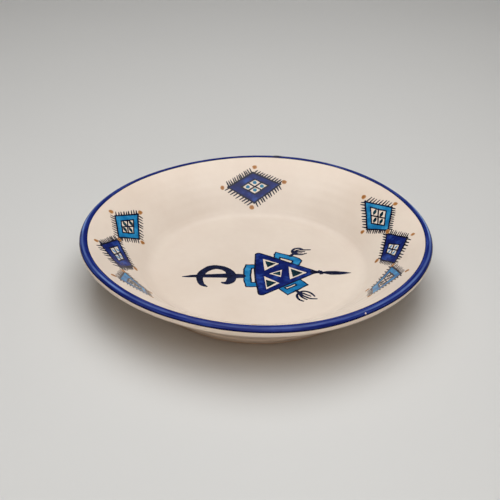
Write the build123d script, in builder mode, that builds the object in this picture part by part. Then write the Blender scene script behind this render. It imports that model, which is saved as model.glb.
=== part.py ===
from build123d import *
import os
from math import acos, atan2, cos, degrees, radians, sin

os.makedirs("parts", exist_ok=True)

# A hand painted bowl-shaped plate: a thrown clay body, a skin of glaze, and painted layers on the glaze.
# Millimetres and degrees. The origin is the centre of the foot on the table, and +Z is up.

# ---- Clay shape, measured on the finished, glazed surface ----
rim_radius = 110.0      # outermost point of the lip
lip_round = 3.3         # radius of the rounded lip
lip_level = 34.4        # height of the centre of that round
lip_slope = 30.0        # slope of the wall where it meets the lip
wall_round = 200.0      # radius of the gentle outward flare of the wall, on its face and on its back
well_level = 10.0       # flat floor of the well
well_corner = 6.0       # round between the well's floor and the wall

foot_radius = 70.5      # foot ring, outside, on the table
foot_width = 6.0
foot_height = 4.7       # where the underside of the wall meets the foot
foot_corner = 2.5
foot_edge = 0.9         # rounding of the ring's two lower edges
recess_depth = 3.5      # hollow inside the foot ring
recess_taper = 1.0      # its side leans inwards by this much
recess_corner = 2.0
bare_height = 1.2       # the ring is wiped clean of glaze below this

glaze = 0.4             # thickness of the glaze skin
paint = 0.15            # thickness of a painted layer

# ---- Blue band round the lip, as angles about the lip's centre, 0 outwards and 90 up ----
band_start = 10.0
band_end = 120.0

# ---- The layer of paint that the tiles are cut from ----
paint_low = 3.0         # its lower end, up the wall from the well
paint_high = 43.0       # its upper end
tile_arc = 34.0         # arc of wall that one tile is cut from
cut_reach = 4.0         # how far a cutting shape runs each side of the plane that touches the wall

# ---- Diamond tiles on the wall ----
tile_half_width = 17.5
tile_half_height = 11.0
pane_half_width = 4.0   # four diamond panes show the glaze through each tile
pane_half_height = 2.3
pane_step_x = 4.6
pane_step_y = 2.8
fringe_count = 11       # brush strokes along each side of a tile
fringe_length = 3.2
fringe_width = 0.8
fringe_lean = 12.0
dot_radius = 1.3        # orange dots at the corners
dot_step_x = 20.0
dot_step_y = 15.0
mark_half_width = 1.3   # small mark in each pane
mark_half_height = 0.7

# Each tile: node name, azimuth of its centre, distance up the wall from the well, turn,
# and whether it shares its left corner dot with the tile before it in its chain.
tiles = (
    ("tile_back", 91.5, 23.0, 5.0, False),
    ("tile_right_back", 26.5, 27.0, -8.0, False),
    ("tile_right", 1.0, 24.5, 0.0, True),
    ("tile_right_front", -25.5, 24.5, 5.0, True),
    ("tile_front", 270.0, 24.5, 0.0, False),
    ("tile_left_front", 213.5, 26.5, 0.0, False),
    ("tile_left", 188.5, 27.0, 0.0, True),
    ("tile_left_back", 164.0, 26.0, 0.0, True),
)

# ---- Brooch painted on the floor of the well, seen from above ----
brooch_corners = ((-1.0, 18.0), (1.5, -33.5), (37.5, -4.5))
brooch_panes = (
    ((4.0, 11.0), (14.0, 5.5), (5.0, -3.0)),
    ((5.0, -10.0), (14.0, -18.0), (6.0, -25.0)),
    ((8.0, -7.0), (16.0, -2.0), (15.0, -10.5)),
    ((20.5, 2.0), (32.0, -5.0), (21.0, -13.0)),
)
core_share = 0.5        # each pane holds a smaller triangle of this share of its size

left_bracket = ((-1.5, 3.5), (-6.8, 3.5), (-8.2, -9.5), (-6.6, -22.5), (0.0, -22.5))
left_slot = ((-1.5, -0.5), (-3.4, -0.5), (-3.8, -9.5), (-3.4, -17.5), (-0.8, -17.5))
upper_bracket = ((11.5, 13.0), (12.4, 19.8), (26.8, 13.0), (29.0, 9.8), (26.8, 3.2))
upper_slot = ((15.0, 13.5), (23.3, 9.3), (22.4, 6.5), (15.0, 10.7))
lower_bracket = ((28.0, -15.0), (32.0, -19.3), (19.2, -31.2), (14.4, -25.5))
lower_slot = ((17.7, -23.6), (24.2, -18.7), (25.0, -19.9), (19.0, -24.8))
bracket_gap = 0.3       # bare glaze between a bracket and the triangle

hoop_centre = (-25.5, -10.0)
hoop_outer = 12.4
hoop_inner = 8.0
hoop_mouth = (248.0, 292.0)     # the hoop is open towards the front
needle = (
    (-46.9, -12.0),
    (-37.8, -10.2),
    (-18.7, -7.8),
    (-8.8, -9.0),
    (-8.8, -11.4),
    (-18.7, -12.4),
    (-37.8, -11.4),
)
spindle = (
    (38.6, -4.2),
    (44.4, -3.2),
    (48.8, -2.8),
    (55.0, -3.4),
    (59.6, -4.3),
    (54.5, -6.0),
    (48.0, -6.6),
    (44.4, -5.9),
)

# Each tassel is a set of thin curved strokes: start, a point on the way, end.
tassel_stroke = 0.8
upper_tassel = (
    ((22.6, 16.4), (23.1, 21.0), (29.9, 24.8)),
    ((22.6, 16.4), (27.0, 22.6), (34.9, 23.7)),
    ((22.6, 16.4), (26.0, 20.4), (31.2, 21.2)),
    ((22.6, 16.4), (27.5, 17.6), (32.2, 19.1)),
)
lower_tassel = (
    ((25.4, -27.2), (25.0, -34.0), (28.5, -38.1)),
    ((25.4, -27.2), (27.2, -33.2), (30.8, -36.2)),
    ((25.4, -27.2), (30.0, -33.2), (36.9, -35.4)),
    ((25.4, -27.2), (29.5, -29.9), (33.2, -32.4)),
    ((25.4, -27.2), (31.2, -27.6), (35.7, -32.4)),
)

# ---- Derived geometry ----
overshoot = 5.0         # the section runs past the axis before it is offset, and is then clipped
far = 200.0             # larger than the plate
inside_clay = 3.0       # a depth below the well's floor that is well inside the clay
lip_outward = 30.0      # any angle round the lip between its inner and its under end
lip_centre = (rim_radius - lip_round, lip_level)
lip_sine = sin(radians(lip_slope))
lip_cosine = cos(radians(lip_slope))
lip_inner = (lip_centre[0] - lip_round * lip_sine, lip_centre[1] + lip_round * lip_cosine)
lip_under = (lip_centre[0] + lip_round * lip_sine, lip_centre[1] - lip_round * lip_cosine)
wall_centre = (lip_inner[0] + wall_round * lip_sine, lip_inner[1] - wall_round * lip_cosine)
well_slope = degrees(acos((well_level - wall_centre[1]) / wall_round))
well_radius = wall_centre[0] - wall_round * sin(radians(well_slope))
wall_length = wall_round * radians(well_slope - lip_slope)
back_centre = (lip_under[0] + wall_round * lip_sine, lip_under[1] - wall_round * lip_cosine)
back_slope = degrees(acos((foot_height - back_centre[1]) / wall_round))
foot_top = (back_centre[0] - wall_round * sin(radians(back_slope)), foot_height)
recess_radius = foot_radius - foot_width - recess_taper


def lip_point(angle, distance=lip_round):
    """A point at an angle round the centre of the lip."""
    turn = radians(angle)
    return (lip_centre[0] + distance * cos(turn), lip_centre[1] + distance * sin(turn))


def wall_slope(slant):
    """Slope of the wall, in degrees, at a distance up it from the well."""
    return well_slope - degrees(slant / wall_round)


def wall_point(slant):
    """Radius and height of the glazed wall at a distance up it from the well."""
    slope = radians(wall_slope(slant))
    return (wall_centre[0] - wall_round * sin(slope), wall_centre[1] + wall_round * cos(slope))


def section_plane(azimuth):
    """The upright half plane through the axis at an azimuth: x outwards, y up."""
    turn = radians(azimuth)
    return Plane(origin=(0, 0, 0), x_dir=(cos(turn), sin(turn), 0), z_dir=(sin(turn), -cos(turn), 0))


def wall_plane(azimuth, slant, spin=0.0):
    """The plane that touches the wall: x to the right as seen from the axis, y up the wall, then spun."""
    turn = radians(azimuth)
    slope = radians(wall_slope(slant))
    radius, height = wall_point(slant)
    touching = Plane(
        origin=(radius * cos(turn), radius * sin(turn), height),
        x_dir=(sin(turn), -cos(turn), 0),
        z_dir=(-sin(slope) * cos(turn), -sin(slope) * sin(turn), cos(slope)),
    )
    return touching.rotated((0, 0, spin))


def plate_section(growth):
    """Half section of the plate, with its whole outline moved outwards by growth."""
    with BuildSketch(Plane.XZ) as section:
        with BuildLine():
            Line((-overshoot, well_level), (well_radius, well_level))
            ThreePointArc((well_radius, well_level), wall_point(wall_length / 2), lip_inner)
            ThreePointArc(lip_inner, lip_point(lip_outward), lip_under)
            TangentArc(lip_under, foot_top, tangent=(-lip_cosine, -lip_sine))
            Polyline(
                foot_top,
                (foot_radius, 0),
                (foot_radius - foot_width, 0),
                (recess_radius, recess_depth),
                (-overshoot, recess_depth),
                (-overshoot, well_level),
            )
        make_face()
        for corner, round_radius in (
            ((well_radius, well_level), well_corner),
            (foot_top, foot_corner),
            ((foot_radius, 0), foot_edge),
            ((foot_radius - foot_width, 0), foot_edge),
            ((recess_radius, recess_depth), recess_corner),
        ):
            fillet(section.vertices().sort_by_distance((*corner, 0))[0], radius=round_radius)
        if growth:
            offset(amount=growth)
        with Locations((far / 2, 0)):
            Rectangle(far, far, mode=Mode.INTERSECT)
    return section.sketch_local


glazed_section = plate_section(0)
biscuit_section = plate_section(-glaze)
painted_section = plate_section(paint)

# ---- Clay body: the inset section, and the bare foot ring at full size ----
with BuildPart() as clay_body:
    with BuildSketch(Plane.XZ) as bare_foot:
        add(glazed_section)
        with Locations((far / 2, bare_height - far / 2)):
            Rectangle(far, far, mode=Mode.INTERSECT)
        add(biscuit_section)
    revolve(axis=Axis.Z)
clay_section = bare_foot.sketch_local
clay_body.part.label = "clay_body"
export_step(clay_body.part, "parts/clay_body.step")

# A line inside the clay from the axis to the lip parts the face from the underside.
face_side = (
    (-overshoot, well_level - inside_clay),
    (well_radius - inside_clay, well_level - inside_clay),
    lip_centre,
    (lip_centre[0], far),
    (-overshoot, far),
)

# ---- Glaze: poured over the face, over the underside, and into the hollow of the foot ----
with BuildPart() as face_glaze:
    with BuildSketch(Plane.XZ):
        add(glazed_section)
        add(clay_section, mode=Mode.SUBTRACT)
        Polygon(*face_side, align=None, mode=Mode.INTERSECT)
    revolve(axis=Axis.Z)
face_glaze.part.label = "face_glaze"
export_step(face_glaze.part, "parts/face_glaze.step")

with BuildPart() as back_glaze:
    with BuildSketch(Plane.XZ):
        add(glazed_section)
        add(clay_section, mode=Mode.SUBTRACT)
        Polygon(*face_side, align=None, mode=Mode.SUBTRACT)
        with Locations((foot_radius - foot_width / 2 + far / 2, 0)):
            Rectangle(far, far, mode=Mode.INTERSECT)
    revolve(axis=Axis.Z)
back_glaze.part.label = "back_glaze"
export_step(back_glaze.part, "parts/back_glaze.step")

with BuildPart() as recess_glaze:
    with BuildSketch(Plane.XZ):
        add(glazed_section)
        add(clay_section, mode=Mode.SUBTRACT)
        Polygon(*face_side, align=None, mode=Mode.SUBTRACT)
        with Locations((foot_radius - foot_width / 2 - far / 2, 0)):
            Rectangle(far, far, mode=Mode.INTERSECT)
    revolve(axis=Axis.Z)
recess_glaze.part.label = "recess_glaze"
export_step(recess_glaze.part, "parts/recess_glaze.step")

# ---- Blue band, brushed over the lip ----
band_reach = 3 * lip_round
band_middle = (band_start + band_end) / 2
with BuildPart() as rim_band:
    with BuildSketch(Plane.XZ):
        add(painted_section)
        add(glazed_section, mode=Mode.SUBTRACT)
        Polygon(
            lip_centre,
            lip_point(band_start, band_reach),
            lip_point(band_middle, band_reach),
            lip_point(band_end, band_reach),
            align=None,
            mode=Mode.INTERSECT,
        )
    revolve(axis=Axis.Z)
rim_band.part.label = "rim_band"
export_step(rim_band.part, "parts/rim_band.step")

# ---- The layer of paint on the wall, from which every painted tile is cut ----
with BuildSketch(Plane.XZ) as wall_paint:
    add(painted_section)
    add(glazed_section, mode=Mode.SUBTRACT)
    Polygon(*face_side, align=None, mode=Mode.INTERSECT)
    with Locations(((wall_point(paint_low)[0] + wall_point(paint_high)[0]) / 2, 0)):
        Rectangle(wall_point(paint_high)[0] - wall_point(paint_low)[0], far, mode=Mode.INTERSECT)
wall_paint_section = wall_paint.sketch_local


def diamond(half_width, half_height, mode=Mode.ADD):
    """A diamond about the current location."""
    Polygon(
        (half_width, 0),
        (0, half_height),
        (-half_width, 0),
        (0, -half_height),
        align=None,
        mode=mode,
    )


def tile_shape():
    """A tile: a diamond with four open panes and a fringe of strokes along each side."""
    diamond(tile_half_width, tile_half_height)
    outward = degrees(atan2(tile_half_width, tile_half_height))
    for side_x in (1, -1):
        for side_y in (1, -1):
            for stroke in range(fringe_count):
                along = (stroke + 0.5) / fringe_count
                foot = (side_x * tile_half_width * (1 - along), side_y * tile_half_height * along)
                turn = outward + fringe_lean
                heading = degrees(atan2(side_y * sin(radians(turn)), side_x * cos(radians(turn))))
                with Locations(foot):
                    Rectangle(2 * fringe_length, fringe_width, rotation=heading)
    with Locations((pane_step_x, 0), (-pane_step_x, 0), (0, pane_step_y), (0, -pane_step_y)):
        diamond(pane_half_width, pane_half_height, mode=Mode.SUBTRACT)


# The places of the orange dots. A tile's strokes stop at a dot instead of running under it.
with BuildPart() as dot_cutters:
    for _, azimuth, slant, turn, linked in tiles:
        spots = [(dot_step_x, 0), (0, dot_step_y), (0, -dot_step_y)]
        if not linked:
            spots.append((-dot_step_x, 0))
        with BuildSketch(wall_plane(azimuth, slant, turn).offset(-cut_reach)):
            with Locations(*spots):
                Circle(dot_radius)
        extrude(amount=2 * cut_reach)

for name, azimuth, slant, turn, _ in tiles:
    with BuildPart() as tile:
        with BuildSketch(section_plane(azimuth - tile_arc / 2)):
            add(wall_paint_section)
        revolve(axis=Axis.Z, revolution_arc=tile_arc)
        with BuildSketch(wall_plane(azimuth, slant, turn).offset(-cut_reach)):
            tile_shape()
        extrude(amount=2 * cut_reach, mode=Mode.INTERSECT)
        add(dot_cutters.part, mode=Mode.SUBTRACT)
    tile.part.label = name
    export_step(tile.part, f"parts/{name}.step")

# ---- Orange dots at the corners of the tiles, and the small marks in their panes ----
with BuildPart() as corner_dots:
    with BuildSketch(Plane.XZ):
        add(wall_paint_section)
    revolve(axis=Axis.Z)
    add(dot_cutters.part, mode=Mode.INTERSECT)
corner_dots.part.label = "corner_dots"
export_step(corner_dots.part, "parts/corner_dots.step")

with BuildPart() as mark_cutters:
    for _, azimuth, slant, turn, _ in tiles:
        with BuildSketch(wall_plane(azimuth, slant, turn).offset(-cut_reach)):
            with Locations((pane_step_x, 0), (-pane_step_x, 0), (0, pane_step_y), (0, -pane_step_y)):
                Ellipse(mark_half_width, mark_half_height)
        extrude(amount=2 * cut_reach)

with BuildPart() as pane_marks:
    with BuildSketch(Plane.XZ):
        add(wall_paint_section)
    revolve(axis=Axis.Z)
    add(mark_cutters.part, mode=Mode.INTERSECT)
pane_marks.part.label = "pane_marks"
export_step(pane_marks.part, "parts/pane_marks.step")

# ---- The brooch, in flat layers of paint on the floor of the well ----
floor_plane = Plane.XY.offset(well_level)

with BuildPart() as brooch_triangle:
    with BuildSketch(floor_plane):
        Polygon(*brooch_corners, align=None)
        for pane in brooch_panes:
            Polygon(*pane, align=None, mode=Mode.SUBTRACT)
    extrude(amount=paint)
brooch_triangle.part.label = "brooch_triangle"
export_step(brooch_triangle.part, "parts/brooch_triangle.step")

with BuildPart() as brooch_cores:
    with BuildSketch(floor_plane):
        for pane in brooch_panes:
            middle = (sum(x for x, _ in pane) / 3, sum(y for _, y in pane) / 3)
            core = [
                (middle[0] + core_share * (x - middle[0]), middle[1] + core_share * (y - middle[1]))
                for x, y in pane
            ]
            Polygon(*core, align=None)
    extrude(amount=paint)
brooch_cores.part.label = "brooch_cores"
export_step(brooch_cores.part, "parts/brooch_cores.step")

with BuildPart() as brooch_brackets:
    with BuildSketch(floor_plane):
        for outline in (left_bracket, upper_bracket, lower_bracket):
            Polygon(*outline, align=None)
        for slot in (left_slot, upper_slot, lower_slot):
            Polygon(*slot, align=None, mode=Mode.SUBTRACT)
        with BuildSketch(mode=Mode.SUBTRACT):
            Polygon(*brooch_corners, align=None)
            offset(amount=bracket_gap)
    extrude(amount=paint)
brooch_brackets.part.label = "brooch_brackets"
export_step(brooch_brackets.part, "parts/brooch_brackets.step")

mouth_reach = 2 * hoop_outer
mouth = [
    (hoop_centre[0] + mouth_reach * cos(radians(angle)), hoop_centre[1] + mouth_reach * sin(radians(angle)))
    for angle in hoop_mouth
]
with BuildPart() as brooch_hoop:
    with BuildSketch(floor_plane):
        with Locations(hoop_centre):
            Circle(hoop_outer)
            Circle(hoop_inner, mode=Mode.SUBTRACT)
        Polygon(hoop_centre, *mouth, align=None, mode=Mode.SUBTRACT)
        Polygon(*needle, align=None)
    extrude(amount=paint)
brooch_hoop.part.label = "brooch_hoop"
export_step(brooch_hoop.part, "parts/brooch_hoop.step")

with BuildPart() as brooch_spindle:
    with BuildSketch(floor_plane):
        Polygon(*spindle, align=None)
    extrude(amount=paint)
brooch_spindle.part.label = "brooch_spindle"
export_step(brooch_spindle.part, "parts/brooch_spindle.step")

with BuildPart() as brooch_tassels:
    with BuildSketch(floor_plane):
        for stroke in upper_tassel + lower_tassel:
            with BuildLine():
                ThreePointArc(*stroke)
            trace(line_width=tassel_stroke)
    extrude(amount=paint)
brooch_tassels.part.label = "brooch_tassels"
export_step(brooch_tassels.part, "parts/brooch_tassels.step")
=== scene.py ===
import bpy
import math
import numpy as np
from mathutils import Matrix, Vector


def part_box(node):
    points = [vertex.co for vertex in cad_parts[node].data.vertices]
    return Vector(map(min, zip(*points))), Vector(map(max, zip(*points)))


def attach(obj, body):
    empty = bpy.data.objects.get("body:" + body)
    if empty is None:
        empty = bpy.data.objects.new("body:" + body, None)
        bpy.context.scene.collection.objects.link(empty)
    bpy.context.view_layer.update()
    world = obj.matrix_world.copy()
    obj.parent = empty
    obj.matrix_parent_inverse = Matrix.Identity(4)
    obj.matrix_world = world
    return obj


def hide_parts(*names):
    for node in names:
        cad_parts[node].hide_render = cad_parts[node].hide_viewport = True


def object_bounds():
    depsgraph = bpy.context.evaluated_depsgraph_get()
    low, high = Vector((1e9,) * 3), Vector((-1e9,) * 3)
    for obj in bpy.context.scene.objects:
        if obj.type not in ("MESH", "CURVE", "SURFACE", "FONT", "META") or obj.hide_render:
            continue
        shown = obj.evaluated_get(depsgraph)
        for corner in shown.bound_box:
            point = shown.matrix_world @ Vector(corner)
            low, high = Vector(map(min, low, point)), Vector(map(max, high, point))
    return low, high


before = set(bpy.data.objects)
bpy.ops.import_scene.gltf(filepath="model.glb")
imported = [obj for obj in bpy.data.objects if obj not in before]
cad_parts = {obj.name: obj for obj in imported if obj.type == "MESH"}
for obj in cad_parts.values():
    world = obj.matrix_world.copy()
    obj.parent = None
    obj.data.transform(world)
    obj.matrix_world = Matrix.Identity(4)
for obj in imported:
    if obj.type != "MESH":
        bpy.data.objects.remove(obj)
cad_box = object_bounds()

# A hand painted plate. Shapes are worked out in millimetres and turned into metres when a mesh is made.
MM = 0.001
SEED = 7

# ---- The plate's profile, as in the CAD model ----
cad_low, cad_high = cad_box
RIM_RADIUS = (cad_high[0] - cad_low[0]) / 2 / MM
WELL_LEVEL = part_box("brooch_triangle")[0].z / MM
LIP_ROUND = 3.3
LIP_LEVEL = 34.4
LIP_SLOPE = math.radians(30)
WALL_ROUND = 200.0
WELL_CORNER = 12.0          # softer than in the CAD model, as glaze gathers there
FOOT_RADIUS = 70.5
FOOT_WIDTH = 6.0
FOOT_HEIGHT = 4.7
FOOT_CORNER = 2.5
FOOT_EDGE = 1.4
RECESS_DEPTH = 3.5
RECESS_TAPER = 1.0
RECESS_CORNER = 2.0
BARE_HEIGHT = 1.2
GLAZE = 0.4

LIP_CENTRE = np.array([RIM_RADIUS - LIP_ROUND, LIP_LEVEL])
LIP_NORMAL = np.array([-math.sin(LIP_SLOPE), math.cos(LIP_SLOPE)])
LIP_INNER = LIP_CENTRE + LIP_ROUND * LIP_NORMAL
LIP_UNDER = LIP_CENTRE - LIP_ROUND * LIP_NORMAL
WALL_CENTRE = LIP_INNER - WALL_ROUND * LIP_NORMAL
BACK_CENTRE = LIP_UNDER - WALL_ROUND * LIP_NORMAL
WELL_SLOPE = math.acos((WELL_LEVEL - WALL_CENTRE[1]) / WALL_ROUND)
WELL_RADIUS = WALL_CENTRE[0] - WALL_ROUND * math.sin(WELL_SLOPE)

# ---- How far the thrown plate is from a true turned shape ----
RIM_SHRINK = -0.0035        # share of the radius
RIM_WAVES = ((3, 0.0095, 171.0), (4, 0.0057, 6.0), (5, 0.0022, 30.0))     # waves, share, phase in degrees
THROWING_RINGS = 0.035      # height of the faint rings that the potter's fingers left
RING_PITCH = 5.5
RING_INNER = (8, 20)        # the rings fade in from this radius, over this much of it
RING_OUTER = (6, 10)        # and fade out this far from the rim, over this much of the radius
RING_RISE = 6               # they are full only above this height
RIM_DIP = 0.9               # the rim is this much lower at one place at the back
RIM_DIP_AT = math.radians(105)


def by_hand(points):
    """Moves points, in millimetres, from the true turned shape to the slightly uneven thrown one."""
    x, y, z = points[:, 0], points[:, 1], points[:, 2]
    radius = np.hypot(x, y)
    azimuth = np.arctan2(y, x)
    swell = np.full(len(points), RIM_SHRINK)
    for turns, share, phase in RIM_WAVES:
        swell += share * np.cos(turns * azimuth + math.radians(phase))
    outness = np.clip(radius / RIM_RADIUS, 0, 1)
    scale = 1 + swell * outness ** 3
    spiral = 2 * math.pi * radius / RING_PITCH + azimuth
    fade = np.clip((radius - RING_INNER[0]) / RING_INNER[1], 0, 1)
    fade *= np.clip((RIM_RADIUS - RING_OUTER[0] - radius) / RING_OUTER[1], 0, 1)
    rings = THROWING_RINGS * np.sin(spiral) * fade * np.clip(z / RING_RISE, 0, 1)
    dip = RIM_DIP * np.clip(np.cos(azimuth - RIM_DIP_AT), 0, 1) ** 2 * outness ** 5
    return np.stack([x * scale, y * scale, z + rings - dip], axis=1)


# ---- Profile ----
def arc(centre, radius, start, end, step=1.0):
    """Points on an arc about centre, from one angle to another, about step apart."""
    count = max(4, int(abs(end - start) * radius / step) + 1)
    turns = np.linspace(start, end, count)
    return [np.array([centre[0] + radius * math.cos(t), centre[1] + radius * math.sin(t)]) for t in turns]


def run(start, end, step=2.0):
    """Points on a straight line, about step apart."""
    start, end = np.array(start, float), np.array(end, float)
    count = max(2, int(np.linalg.norm(end - start) / step) + 2)
    return [start + (end - start) * t for t in np.linspace(0, 1, count)]


def rounded(before, corner, after, radius, count=9):
    """Points of the arc that rounds a corner between two straight runs."""
    corner = np.array(corner, float)
    to_before = np.array(before, float) - corner
    to_after = np.array(after, float) - corner
    to_before /= np.linalg.norm(to_before)
    to_after /= np.linalg.norm(to_after)
    half = math.acos(float(np.clip(to_before @ to_after, -1, 1))) / 2
    middle = to_before + to_after
    centre = corner + middle / np.linalg.norm(middle) * radius / math.sin(half)
    first = corner + to_before * radius / math.tan(half) - centre
    last = corner + to_after * radius / math.tan(half) - centre
    start = math.atan2(first[1], first[0])
    turn = math.atan2(first[0] * last[1] - first[1] * last[0], float(first @ last))
    return [centre + radius * np.array([math.cos(start + turn * t), math.sin(start + turn * t)])
            for t in np.linspace(0, 1, count)]


GAP = 0.5               # a run stops this far short of the round it leads to
LIP_GAP = 0.08          # the lip's round stops short of its neighbours by this angle
LIP_STEP = 0.25         # distance between the points of that round
BACK_GAP = 1.5
RECESS_GAP = 2.5


def outer_outline():
    """The glazed surface, from the middle of the well over the lip to the middle of the recess."""
    back_slope = math.acos((FOOT_HEIGHT - BACK_CENTRE[1]) / WALL_ROUND)
    foot_top = (BACK_CENTRE[0] - WALL_ROUND * math.sin(back_slope), FOOT_HEIGHT)
    foot_out = (FOOT_RADIUS, 0.0)
    foot_in = (FOOT_RADIUS - FOOT_WIDTH, 0.0)
    recess = (FOOT_RADIUS - FOOT_WIDTH - RECESS_TAPER, RECESS_DEPTH)
    well = (WELL_RADIUS, WELL_LEVEL)
    well_cut = WELL_CORNER * math.tan(WELL_SLOPE / 2)
    up_wall = (WELL_RADIUS + math.cos(WELL_SLOPE), WELL_LEVEL + math.sin(WELL_SLOPE))
    back_up = (foot_top[0] + math.cos(back_slope), foot_top[1] + math.sin(back_slope))
    half_pi = math.pi / 2
    points = run((0.0, WELL_LEVEL), (WELL_RADIUS - well_cut - GAP, WELL_LEVEL))
    points += rounded((0, WELL_LEVEL), well, up_wall, WELL_CORNER)
    points += arc(WALL_CENTRE, WALL_ROUND, half_pi + WELL_SLOPE - (well_cut + GAP) / WALL_ROUND,
                  half_pi + LIP_SLOPE)
    points += arc(LIP_CENTRE, LIP_ROUND, half_pi + LIP_SLOPE - LIP_GAP,
                  LIP_SLOPE - half_pi + LIP_GAP, LIP_STEP)
    points += arc(BACK_CENTRE, WALL_ROUND, half_pi + LIP_SLOPE,
                  half_pi + back_slope - BACK_GAP / WALL_ROUND)
    points += rounded(back_up, foot_top, foot_out, FOOT_CORNER)
    points += rounded(foot_top, foot_out, foot_in, FOOT_EDGE)
    points += rounded(foot_out, foot_in, recess, FOOT_EDGE)
    points += rounded(foot_in, recess, (0, RECESS_DEPTH), RECESS_CORNER)
    points += run((recess[0] - RECESS_GAP, RECESS_DEPTH), (0.0, RECESS_DEPTH))
    return np.array(points)


def moved_out(outline, distance):
    """The outline with every point moved along its normal, outwards when distance is positive."""
    ahead = np.roll(outline, -1, axis=0) - outline
    behind = outline - np.roll(outline, 1, axis=0)
    ahead[-1], behind[0] = behind[-1], ahead[0]
    along = ahead / (np.linalg.norm(ahead, axis=1)[:, None] + 1e-9)
    along += behind / (np.linalg.norm(behind, axis=1)[:, None] + 1e-9)
    along /= np.linalg.norm(along, axis=1)[:, None] + 1e-9
    normal = np.stack([-along[:, 1], along[:, 0]], axis=1)
    shifted = outline + distance * normal
    shifted[:, 0] = np.where(outline[:, 0] < 1e-6, 0.0, shifted[:, 0])
    return shifted


# ---- Meshes ----
def add_object(name, data):
    """A new object in the scene."""
    added = bpy.data.objects.new(name, data)
    bpy.context.scene.collection.objects.link(added)
    return added


def make_object(name, points, faces, values=None, sharp=()):
    """A smooth mesh from points in millimetres, with named numbers at its points and some sharp edges."""
    mesh = bpy.data.meshes.new(name)
    mesh.from_pydata((by_hand(np.asarray(points, float)) * MM).tolist(), [], faces)
    mesh.validate()
    if len(sharp):
        ends = np.empty(len(mesh.edges) * 2, np.int64)
        mesh.edges.foreach_get("vertices", ends)
        low, high = np.sort(ends.reshape(-1, 2), axis=1).T
        wanted = np.sort(np.array(list(sharp), np.int64), axis=1)
        is_sharp = np.isin(low * len(points) + high, wanted[:, 0] * len(points) + wanted[:, 1])
        mesh.attributes.new("sharp_edge", "BOOLEAN", "EDGE").data.foreach_set("value", is_sharp)
    for label, numbers in (values or {}).items():
        attribute = mesh.attributes.new(label, "FLOAT", "POINT")
        attribute.data.foreach_set("value", np.asarray(numbers, np.float32))
    mesh.polygons.foreach_set("use_smooth", [True] * len(mesh.polygons))
    mesh.update()
    return add_object(name, mesh)


def thin_piece(name, top, bottom, faces, pool):
    """A closed piece from two sheets of points with the same faces, its rims sharp."""
    sides = {}
    for face in faces:
        for p, q in zip(face, face[1:] + face[:1]):
            if (q, p) in sides:
                del sides[(q, p)]
            else:
                sides[(p, q)] = True
    count = len(top)
    faces = (faces + [tuple(p + count for p in reversed(f)) for f in faces]
             + [(q, p, p + count, q + count) for p, q in sides])
    rims = [*sides, *((p + count, q + count) for p, q in sides)]
    return make_object(name, np.concatenate([top, bottom]), faces, {"pool": np.tile(pool, 2)}, rims)


def lathe(name, outline, segments=360):
    """A closed turned piece. The outline runs clockwise, and its points on the axis are poles."""
    points, rings = [], []
    turns = np.linspace(0, 2 * math.pi, segments, endpoint=False)
    for radius, height in outline:
        if radius < 1e-6:
            rings.append([len(points)] * segments)
            points.append((0.0, 0.0, height))
            continue
        rings.append(list(range(len(points), len(points) + segments)))
        points += [(radius * math.cos(t), radius * math.sin(t), height) for t in turns]
    faces = []
    for here, there in zip(rings, rings[1:] + rings[:1]):
        for k in range(segments):
            after = (k + 1) % segments
            face = tuple(dict.fromkeys((here[k], there[k], there[after], here[after])))
            if len(face) > 2:
                faces.append(face)
    return make_object(name, points, faces)


OUTLINE = outer_outline()


def surface_distance(points):
    """Signed distance, and its direction, from the glazed wall, for points in millimetres."""
    radius = np.hypot(points[:, 0], points[:, 1])
    across = radius - WALL_CENTRE[0]
    up = points[:, 2] - WALL_CENTRE[1]
    reach = np.hypot(across, up)
    out = across / reach / radius
    normal = np.stack([out * points[:, 0], out * points[:, 1], up / reach], axis=1)
    return reach - WALL_ROUND, normal


def wall_place(azimuth, slant):
    """A painter's view of a place on the wall: its centre, right, up and outward directions."""
    slope = WELL_SLOPE - slant / WALL_ROUND
    turn = math.radians(azimuth)
    radius = WALL_CENTRE[0] - WALL_ROUND * math.sin(slope)
    height = WALL_CENTRE[1] + WALL_ROUND * math.cos(slope)
    centre = np.array([radius * math.cos(turn), radius * math.sin(turn), height])
    right = np.array([math.sin(turn), -math.cos(turn), 0.0])
    inward = -math.sin(slope)
    normal = np.array([inward * math.cos(turn), inward * math.sin(turn), math.cos(slope)])
    return centre, right, np.cross(normal, right), normal


WELL_PLACE = (np.array([0.0, 0.0, WELL_LEVEL]), *np.eye(3))     # the same for the well's floor


def onto_plate(place, flat_x, flat_y, lift):
    """Points on the plate straight below points of a painter's view, raised off the surface by lift."""
    centre, right, up, normal = place
    points = centre + flat_x[:, None] * right + flat_y[:, None] * up
    if place is WELL_PLACE:
        return points + lift[:, None] * normal
    for _ in range(8):
        distance, steepest = surface_distance(points)
        points -= (distance / (steepest @ normal))[:, None] * normal
    return points + lift[:, None] * surface_distance(points)[1]


# ---- Paint ----
CELL = 0.25             # mesh pitch of a painted layer
FINE_CELL = 0.2         # and of one with small marks
NOTHING = 4.0           # a distance that means no paint near
PAINT_SINK = 0.06       # a layer's underside lies this deep in the glaze
POOL_WIDTH = 1.2        # how far in from a layer's edge its colour can still be the edge's
FILL_LIFT = 0.025       # height of each kind of layer over the glaze
MARK_LIFT = 0.035
LINE_LIFT = 0.05
DOT_LIFT = 0.07
DOT_BULGE = 0.05        # a dot's middle is this much higher than its edge
BULGE_REACH = 0.3       # and rises to that over about this distance


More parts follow.
